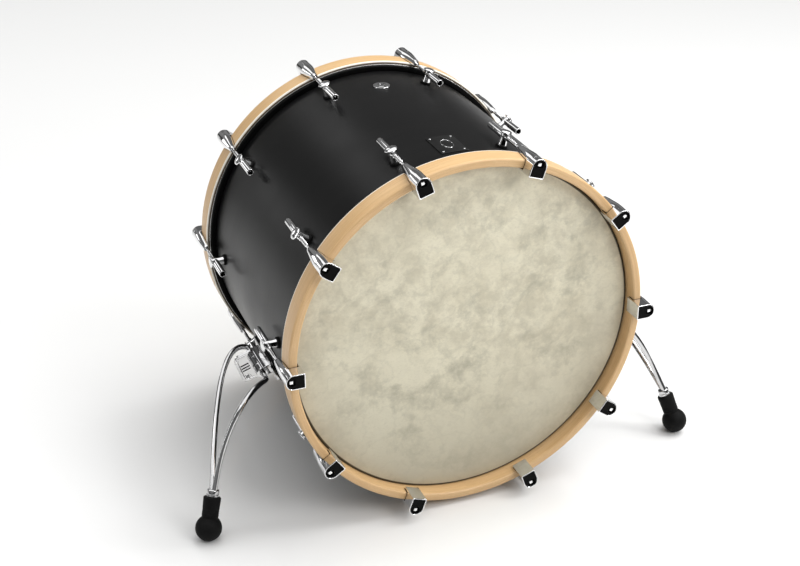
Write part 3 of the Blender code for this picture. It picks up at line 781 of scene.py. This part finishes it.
def hood_outline(half_width, side, top):
    """Hood section: flat underside, upright sides and an arched top."""
    crease = HOOD_BOTTOM + side
    shoulder = HOOD_BOTTOM + 0.6 * side
    points = [(half_width, HOOD_BOTTOM), (half_width, shoulder)]
    for step in range(17):
        share = 1.0 - step / 8.0
        rise = 1.0 - abs(share) ** 3
        points.append((0.985 * half_width * share, crease + (top - crease) * rise))
    return points + [(-half_width, shoulder), (-half_width, HOOD_BOTTOM)]


def claw_body():
    """Cast claw hook: D-shaped block with a recessed face, tapering hood and inner flange."""
    block = loft([at_station(d_outline(inset), station) for inset, station in CLAW_SECTIONS])
    hood = loft([at_station(hood_outline(w, side, top), y) for y, w, side, top in HOOD_SECTIONS])
    flange = soft_box((-0.0121, -0.0060, 0.2758), (0.0121, 0.0119, 0.2791), 0.0006)
    return joined([block, hood, flange])


def claw_insert():
    """Black insert in the claw's face, pocketed for the key head."""
    return loft([
        at_station(d_outline(0.0017), -0.0191),
        at_station(d_outline(0.0017), -0.0218),
        at_station(d_outline(0.0021), -0.0222),
        at_station(ring_outline(0.0072), -0.0222),
        at_station(ring_outline(0.0066), -0.0216),
        at_station(ring_outline(0.0064), -0.0160),
    ])


def claw_gasket():
    """Rubber pad folded over the hoop under the claw."""
    front = soft_box((-0.0123, -0.0009, 0.2796), (0.0123, -0.0001, 0.2952), 0.0003)
    outer = loft([
        [(w, y, 0.2943), (w, y, 0.29495), (-w, y, 0.29495), (-w, y, 0.2943)]
        for y, w in GASKET_WIDTHS
    ])
    inner = soft_box((-0.0124, -0.0008, 0.2794), (0.0124, 0.0123, 0.2803), 0.0003)
    return joined([front, outer, inner])


def on_rod_line(bm):
    """A solid about +Z laid on the top station's rod line."""
    return turned(bm, Matrix.Translation((0.0, 0.0, ROD_LINE)) @ AXIS_TO_Y)


def square_key(half, low, high, bevel):
    """Square key head with eased edges."""
    return soft_box((-half, -half, low), (half, half, high), bevel)


def tension_rod():
    """Rod with washer, key head, smooth shank and rolled thread."""
    profile = [(0.0, -0.0180), (0.0052, -0.0180), (0.0057, -0.0175), (0.0057, -0.0164), (0.0025, -0.0162),
               (SHANK_RADIUS, THREAD_START - 0.0020), (THREAD_ROOT, THREAD_START)]
    station = THREAD_START
    while station < THREAD_END:
        profile.append((THREAD_RADIUS, station + 0.35 * THREAD_PITCH))
        profile.append((THREAD_RADIUS, station + 0.65 * THREAD_PITCH))
        profile.append((THREAD_ROOT, station + THREAD_PITCH))
        station += THREAD_PITCH
    profile += [(THREAD_ROOT, POST_STATION), (0.0, POST_STATION)]
    rod = lathe(profile, 24, False)
    collar = lathe([(0.0, -0.0190), (0.0038, -0.0186), (0.0044, -0.0179), (0.0, -0.0178)], 24, False)
    return on_rod_line(joined([rod, collar, square_key(0.0027, -0.0214, -0.0180, 0.0005)]))


def lug_body():
    """Post with a domed cap, receiver tube with an open end, and a conical collar."""
    seat = SHELL_RADIUS + GAP
    post_outline = [(0.0, seat), (0.0070, seat), (0.0070, seat + 0.0040), (0.0061, 0.2905), (0.0067, 0.3033),
                    (0.0096, 0.3031), (0.0099, 0.3040), (0.0094, 0.3050), (0.0078, 0.3059), (0.0056, 0.3066),
                    (0.0030, 0.30695), (0.0, 0.3070)]
    post = turned(lathe(post_outline, 48, False), along(POST_STATION))
    tube_outline = fillet(
        [(0.0, 0.0960), (0.0059, 0.0960), (0.0059, TUBE_END), (0.0044, TUBE_END), (0.0042, 0.1200),
         (0.0, 0.1200)],
        (0.0, 0.0, 0.0007, 0.0004, 0.0, 0.0), 4, False,
    )
    tube = on_rod_line(lathe(tube_outline, 40, False))
    cone_outline = [(0.0, 0.0980), (0.0052, 0.0980), (0.0050, 0.0905), (0.0042, 0.0862), (0.0044, 0.0856),
                    (0.0044, 0.0840), (0.0036, 0.0820), (0.0030, 0.0818), (0.0, 0.0822)]
    cone = on_rod_line(lathe(cone_outline, 32, False))
    return joined([post, tube, cone])


def lug_gasket():
    """Rubber ring under the lug's post."""
    outline = fillet([(0.0060, 0.2796), (0.0095, 0.2796), (0.0090, 0.2830), (0.0060, 0.2830)],
                     (0.0, 0.0004, 0.0009, 0.0))
    return turned(lathe(outline, 48), along(POST_STATION))


def station_matrix(angle, rear):
    """From the front top station to any station; the rear end is turned end for end."""
    spin = Matrix.Rotation(math.radians(angle), 4, "Y")
    if rear:
        return spin @ along(DEPTH) @ Matrix.Rotation(math.pi, 4, "Z")
    return spin


def build_stations():
    """Claws, gaskets, rods and lugs at the twenty stations."""
    patterns = (
        ("claw_hook", claw_body(), "chrome", "chrome", "claw"),
        ("claw_insert", claw_insert(), "plastic", "rubber", "claw"),
        ("claw_gasket", claw_gasket(), "rubber", "rubber", "claw"),
        ("tension_rod", tension_rod(), "chrome", "chrome", "lug"),
        ("lug_post", lug_body(), "chrome", "chrome", "lug"),
        ("lug_gasket", lug_gasket(), "rubber", "rubber", "lug"),
    )
    for kind, bm, material, slot, node in patterns:
        for end, rear in (("front", False), ("rear", True)):
            for number, angle in enumerate(STATION_ANGLES, start=1):
                place = f"{end}_{number:02d}"
                matrix = station_matrix(angle, rear)
                new_piece(f"{kind}_{place}", bm, material, f"{node}_{place}", matrix=matrix)
        bm.free()


# ---- spurs

def hub_centre():
    """Middle of the hub that joins the two legs."""
    rise = SLEEVE_TOP + GAP + RING_HEIGHT + GAP + 0.5 * HUB_HEIGHT
    return BALL_CENTRE + STEM_VECTOR.normalized() * rise


def leg_point(t, towards_rear):
    """Point on one leg; t runs from 0 at the pivot shaft to 1 in the hub."""
    hub = hub_centre()
    u = 1.0 - t
    weights = (u ** 3, 3.0 * t * u * u, 3.0 * t * t * u, t ** 3)
    xs = (PIVOT.x, BOW_UPPER[0], BOW_LOWER[0], hub.x)
    zs = (PIVOT.z, BOW_UPPER[1], BOW_LOWER[1], hub.z)
    x = sum(weight * value for weight, value in zip(weights, xs))
    z = sum(weight * value for weight, value in zip(weights, zs))
    centre = PIVOT.y + (hub.y - PIVOT.y) * t + 0.0168 * t * (1.0 - t)
    half = 0.5 * (PIVOT_REAR - PIVOT_FRONT)
    # the legs close from the shaft's ends to 4.8 mm either side of the hub's middle
    spread = (1.0 - t) * (half + 0.1412 * t - 0.1591 * t * t) + 0.0048 * t
    return Vector((x, centre + (spread if towards_rear else -spread), z))


def leg_path():
    """Centre line of the bent rod, with its corners cut round."""
    front = [leg_point(t, False) for t in LEG_STEPS]
    rear = [leg_point(t, True) for t in reversed(LEG_STEPS)]
    path = front + [front[-1].lerp(rear[0], share) for share in (0.08, 0.92)] + rear
    for _ in range(3):
        cut = [path[0]]
        for a, b in zip(path, path[1:]):
            cut += [a.lerp(b, 0.25), a.lerp(b, 0.75)]
        path = cut + [path[-1]]
    return path


def stem_matrix():
    """From +Z at the origin to the stem axis, with the origin at the ball centre."""
    turn = Vector((0.0, 0.0, 1.0)).rotation_difference(STEM_VECTOR)
    return Matrix.Translation(BALL_CENTRE) @ turn.to_matrix().to_4x4()


def spur_leg():
    """Wishbone rod with its hub, threaded stem and spike."""
    path = leg_path()
    rod = sweep(path, LEG_RADIUS)
    low = SLEEVE_TOP + 2.0 * GAP + RING_HEIGHT
    high = low + HUB_HEIGHT
    corners = [(0.0, low), (HUB_RADIUS, low), (HUB_RADIUS, high), (0.0, high)]
    hub = lathe(fillet(corners, (0.0, 0.0008, 0.0022, 0.0), 5, False), 40, False)
    stem_top = low + 0.001
    stem = lathe([(0.0, 0.0010 - BALL_RADIUS), (0.0012, 0.0024 - BALL_RADIUS),
                  (STEM_RADIUS, 0.0085 - BALL_RADIUS), (STEM_RADIUS, stem_top), (0.0, stem_top)], 24, False)
    lower = turned(joined([hub, stem]), stem_matrix())
    return joined([rod, lower])


def lock_ring():
    """Knurled ring on the stem, with 30 teeth."""
    low = SLEEVE_TOP + GAP
    high = low + RING_HEIGHT
    ease = 0.0006
    count = 4 * 30

    def loop(radius, depth, height):
        points = []
        for i in range(count):
            angle = 2.0 * math.pi * i / count
            notch = depth if i % 4 in (2, 3) else 0.0
            points.append(((radius - notch) * math.cos(angle), (radius - notch) * math.sin(angle), height))
        return points

    bm = bmesh.new()
    rings = [
        loop(STEM_BORE, 0.0, low), loop(RING_EDGE, 0.0, low), loop(RING_RADIUS, ease, low + ease),
        loop(RING_RADIUS, ease, high - ease), loop(RING_EDGE, 0.0, high), loop(STEM_BORE, 0.0, high),
    ]
    loops = [[bm.verts.new(point) for point in ring] for ring in rings]
    for lower, upper in zip(loops, loops[1:] + loops[:1]):
        bridge(bm, lower, upper)
    bmesh.ops.recalc_face_normals(bm, faces=bm.faces)
    return turned(bm, stem_matrix())


def spur_foot():
    """Rubber ball with its sleeve, moulded rings and rolled top."""
    low = math.asin(STEM_BORE / BALL_RADIUS)
    polar = math.asin(NECK_RADIUS / BALL_RADIUS)
    steps = 22
    turns = [math.pi - low - (math.pi - low - polar) * i / steps for i in range(steps + 1)]
    profile = [(BALL_RADIUS * math.sin(a), BALL_RADIUS * math.cos(a)) for a in turns]
    start = profile[-1][1]
    for index in range(3):
        base = start + 0.0030 + 0.0034 * index
        profile += [(NECK_RADIUS + 0.0001, base), (NECK_RADIUS + 0.0006, base + 0.0006),
                    (NECK_RADIUS + 0.0006, base + 0.0016), (NECK_RADIUS + 0.0001, base + 0.0022)]
    corners = [(SLEEVE_RADIUS - 0.0006, base + 0.0050), (SLEEVE_RADIUS, SLEEVE_TOP), (STEM_BORE, SLEEVE_TOP)]
    top = fillet(corners, (0.0, 0.0022, 0.0), 6, False)
    return turned(lathe(profile + top, 56), stem_matrix())


def pivot_turn():
    """From the top of the shell to the pivot's clock angle."""
    return Matrix.Rotation(math.atan2(PIVOT.x, PIVOT.z), 4, "Y")


def on_pivot_line(bm):
    """A solid about +Z laid on the pivot shaft's line at the top of the shell."""
    return turned(bm, Matrix.Translation((0.0, 0.0, PIVOT_LINE)) @ AXIS_TO_Y)


def screw_place():
    """From +Z at the origin to the lock screw's line at the top of the shell."""
    return Matrix.Translation((SCREW_OFFSET, 0.0, PIVOT_LINE + SCREW_RISE)) @ AXIS_TO_Y


def plate_outline(inset):
    """Outline of the clamp plate, (across, radius), shrunk by inset."""
    low, high = PLATE_LOW + inset, PLATE_HIGH - inset
    base, top = PIVOT_LINE - 0.0020 + inset, PLATE_TOP - inset
    corners = [(low, base), (high, base), (high, top), (low, top)]
    return fillet(corners, (0.004, 0.004, 0.011 - inset, 0.011 - inset), 8)


def bracket_body():
    """Cast bracket: saddle, web, grooved barrel and clamp plate with a raised rib."""
    seat = SHELL_RADIUS + GAP + PAD_THICKNESS + GAP
    front = BRACKET_FRONT - SADDLE_OVERHANG
    rear = BRACKET_REAR + SADDLE_OVERHANG
    saddle = shell_sector(seat, seat + SADDLE_THICKNESS, SADDLE_HALF_ANGLE, front, rear, 0.0012)
    web_low = (-0.0085, BRACKET_FRONT + 0.001, seat + 0.002)
    web = soft_box(web_low, (0.0085, BRACKET_REAR - 0.001, PIVOT_LINE), 0.0008)
    outline = [(0.0, BRACKET_FRONT)]
    lands = 4
    length = (BRACKET_REAR - BRACKET_FRONT) / lands
    for index in range(lands):
        start = BRACKET_FRONT + index * length
        outline += [(BARREL_GROOVE, start), (BARREL_RADIUS, start + 0.0009),
                    (BARREL_RADIUS, start + length - 0.0016), (BARREL_GROOVE, start + length - 0.0007)]
    outline += [(BARREL_GROOVE, BRACKET_REAR), (0.0, BRACKET_REAR)]
    barrel = on_pivot_line(lathe(outline, 40, False))
    back = PLATE_STATION + PLATE_THICKNESS
    plate = loft([
        at_station(plate_outline(0.0008), PLATE_STATION),
        at_station(plate_outline(0.0), PLATE_STATION + 0.0008),
        at_station(plate_outline(0.0), back - 0.0008),
        at_station(plate_outline(0.0008), back),
    ])
    bore = on_pivot_line(cutter(SHAFT_BORE, 0.16, 0.27))
    hole = turned(cutter(SCREW_HOLE, 0.19, 0.23, 24), screw_place())
    solid = combine(saddle, [web, barrel, plate], "UNION")
    return combine(solid, [bore, hole], "DIFFERENCE")


def bracket_rib():
    """Rib like an upturned U, two bars and a boss on the front face of the clamp plate."""
    inset = 0.0038
    low, high = PLATE_LOW + inset, PLATE_HIGH - inset
    base, top = PIVOT_LINE + 0.0120, PLATE_TOP - inset
    path = fillet([(low, base), (low, top), (high, top), (high, base)], (0.0, 0.008, 0.008, 0.0), 8, False)
    points = [Vector((x, PLATE_STATION, z)) for x, z in path]
    rib = sweep(points, 0.0018, 12)
    bars = []
    for across in (-0.0078, -0.0028):
        line = [Vector((across, PLATE_STATION, z)) for z in (base, top - 0.0020)]
        bars.append(sweep(line, 0.0016, 12))
    boss_low = PLATE_STATION - 0.0009
    boss = lathe([(0.0029, boss_low + 0.0003), (0.0060, boss_low), (0.0066, boss_low + 0.0006),
                  (0.0066, PLATE_STATION + 0.0002), (0.0029, PLATE_STATION + 0.0002)], 36)
    return joined([rib, *bars, turned(boss, screw_place())])


def bracket_shade_lines():
    """Black rods standing for painted shade in the grooves beside the two bars of the clamp plate."""
    base, top = PIVOT_LINE + 0.0125, PIVOT_LINE + 0.0270
    lines = []
    for across in (-0.0106, -0.0053, 0.0000):
        line = [Vector((across, PLATE_STATION, z)) for z in (base, top)]
        lines.append(sweep(line, 0.0008, 8))
    return joined(lines)


def spur_gasket():
    """Rubber pad under the saddle."""
    seat = SHELL_RADIUS + GAP
    front = BRACKET_FRONT - SADDLE_OVERHANG - 0.002
    rear = BRACKET_REAR + SADDLE_OVERHANG + 0.002
    return shell_sector(seat, seat + PAD_THICKNESS, PAD_HALF_ANGLE, front, rear, 0.0005)


def lock_screw():
    """Key screw with a domed flange and a square head."""
    face = PLATE_STATION - GAP - 0.0009
    back = PLATE_STATION + PLATE_THICKNESS + 0.0030
    shank = lathe([(0.0, face - 0.0016), (0.0036, face - 0.0012), (0.0041, face), (0.0024, face + 0.0002),
                   (0.0024, back - 0.0006), (0.0018, back), (0.0, back)], 32, False)
    return turned(joined([shank, square_key(0.0026, face - 0.0042, face - 0.0008, 0.0005)]), screw_place())


def build_spur(word, side):
    """Everything of one folding spur."""
    mirror = Matrix.Scale(side, 4, (1.0, 0.0, 0.0))
    at_pivot = mirror @ pivot_turn()
    rows = (
        ("spur_pad", spur_gasket(), "rubber", "rubber", "spur_gasket", False, at_pivot),
        ("spur_casting", bracket_body(), "spur_chrome", "chrome", "spur_bracket", False, at_pivot),
        ("spur_rib", bracket_rib(), "chrome", "chrome", "spur_bracket", False, at_pivot),
        # black rods standing for painted shade in the clamp plate's grooves
        ("spur_groove_shade", bracket_shade_lines(), "plastic", "chrome", "spur_bracket", False, at_pivot),
        ("spur_key_screw", lock_screw(), "chrome", "chrome", "spur_lock_screw", True, at_pivot),
        ("spur_wishbone", spur_leg(), "spur_chrome", "chrome", "spur_leg", True, mirror),
        ("spur_knurled_ring", lock_ring(), "chrome", "chrome", "spur_lock_ring", True, mirror),
        ("spur_rubber_foot", spur_foot(), "rubber", "rubber", "spur_foot", True, mirror),
    )
    for kind, bm, material, slot, stem, moves, matrix in rows:
        node = f"{stem}_{word}"
        new_piece(f"{kind}_{word}", bm, material, node, node if moves else "drum", matrix)
        bm.free()


# ---- studio

def build_floor():
    """Large pale floor under the feet."""
    bm = bmesh.new()
    bmesh.ops.create_grid(bm, x_segments=8, y_segments=8, size=12.0)
    mesh = bpy.data.meshes.new("studio_floor")
    bm.to_mesh(mesh)
    bm.free()
    mesh.materials.append(floor_material())
    floor = bpy.data.objects.new("studio_floor", mesh)
    bpy.context.scene.collection.objects.link(floor)


def aim(item, location, target):
    """Place an object and point its -Z at the target."""
    item.location = location
    direction = Vector(target) - Vector(location)
    item.rotation_euler = direction.to_track_quat("-Z", "Y").to_euler()


def softbox(name, location, target, size, power):
    """Rectangular area light."""
    light = bpy.data.lights.new(name, "AREA")
    light.shape = "RECTANGLE"
    light.size, light.size_y = size
    light.energy = power
    item = bpy.data.objects.new(name, light)
    bpy.context.scene.collection.objects.link(item)
    aim(item, location, target)


def build_world():
    """Pale to the camera, a dim grey studio with a brighter ceiling to everything else."""
    world = bpy.data.worlds.new("studio")
    world.use_nodes = True
    bpy.context.scene.world = world
    tree = world.node_tree
    tree.nodes.clear()
    add, link = tree.nodes.new, tree.links.new
    split = add("ShaderNodeSeparateXYZ")
    link(add("ShaderNodeTexCoord").outputs["Generated"], split.inputs[0])
    ramp = add("ShaderNodeValToRGB")
    link(split.outputs["Z"], ramp.inputs[0])
    stops = ((0.00, 0.05), (0.12, 0.05), (0.18, 0.20), (0.36, 0.22), (0.42, 0.12), (0.64, 0.14),
             (0.74, 1.35), (1.00, 1.35))
    elements = ramp.color_ramp.elements
    for index, (place, level) in enumerate(stops):
        element = elements[index] if index < 2 else elements.new(place)
        element.position = place
        element.color = (level, level, level, 1.0)
    dim = add("ShaderNodeBackground")
    link(ramp.outputs[0], dim.inputs["Color"])
    pale = add("ShaderNodeBackground")
    pale.inputs["Color"].default_value = (0.95, 0.95, 0.955, 1.0)
    chooser = add("ShaderNodeMixShader")
    link(add("ShaderNodeLightPath").outputs["Is Camera Ray"], chooser.inputs[0])
    link(dim.outputs[0], chooser.inputs[1])
    link(pale.outputs[0], chooser.inputs[2])
    link(chooser.outputs[0], add("ShaderNodeOutputWorld").inputs["Surface"])


def build_lights():
    """Soft sun and overhead box, front fill, two rear boxes and side strips for the chrome."""
    centre = (0.0, 0.0, 0.3)
    sun = bpy.data.lights.new("sky_key", "SUN")
    sun.energy = 1.5
    sun.angle = math.radians(50.0)
    key = bpy.data.objects.new("sky_key", sun)
    bpy.context.scene.collection.objects.link(key)
    aim(key, (1.6, 0.6, 2.9), (0.0, 0.0, 0.0))
    key.visible_glossy = False
    softbox("overhead", (1.6, 0.2, 2.3), (0.05, 0.0, 0.2), (1.6, 1.6), 18.0)
    softbox("front_fill", (1.3, -2.5, 2.2), centre, (1.6, 1.2), 40.0)
    softbox("rear_low", (-1.8, 2.6, 0.8), centre, (0.55, 0.60), 1.9)
    softbox("rear_high", (-0.5, 2.6, 2.1), centre, (0.8, 0.8), 2.3)
    softbox("left_strip", (-2.3, 0.2, 1.2), centre, (0.25, 1.8), 5.5)
    softbox("right_strip", (2.2, -0.9, 1.8), centre, (0.4, 1.6), 20.0)


def build_camera():
    """Camera at the photograph's viewing angle."""
    data = bpy.data.cameras.new("camera")
    data.lens = 65.80
    data.sensor_width = 36.0
    item = bpy.data.objects.new("camera", data)
    item.location = (-0.81362, -2.00081, 1.45025)
    item.rotation_euler = [math.radians(angle) for angle in (61.4194, -0.26995, -21.4879)]
    bpy.context.scene.collection.objects.link(item)
    bpy.context.scene.camera = item


def main():
    """Build everything."""
    build_shell()
    for end, rear in (("front", False), ("rear", True)):
        build_hoop(end, rear)
        build_head(end, rear)
    build_vent()
    build_badge()
    build_stations()
    build_spur("right", 1.0)
    build_spur("left", -1.0)
    build_floor()
    build_world()
    build_lights()
    build_camera()
    bpy.context.scene.view_settings.view_transform = "Standard"


main()
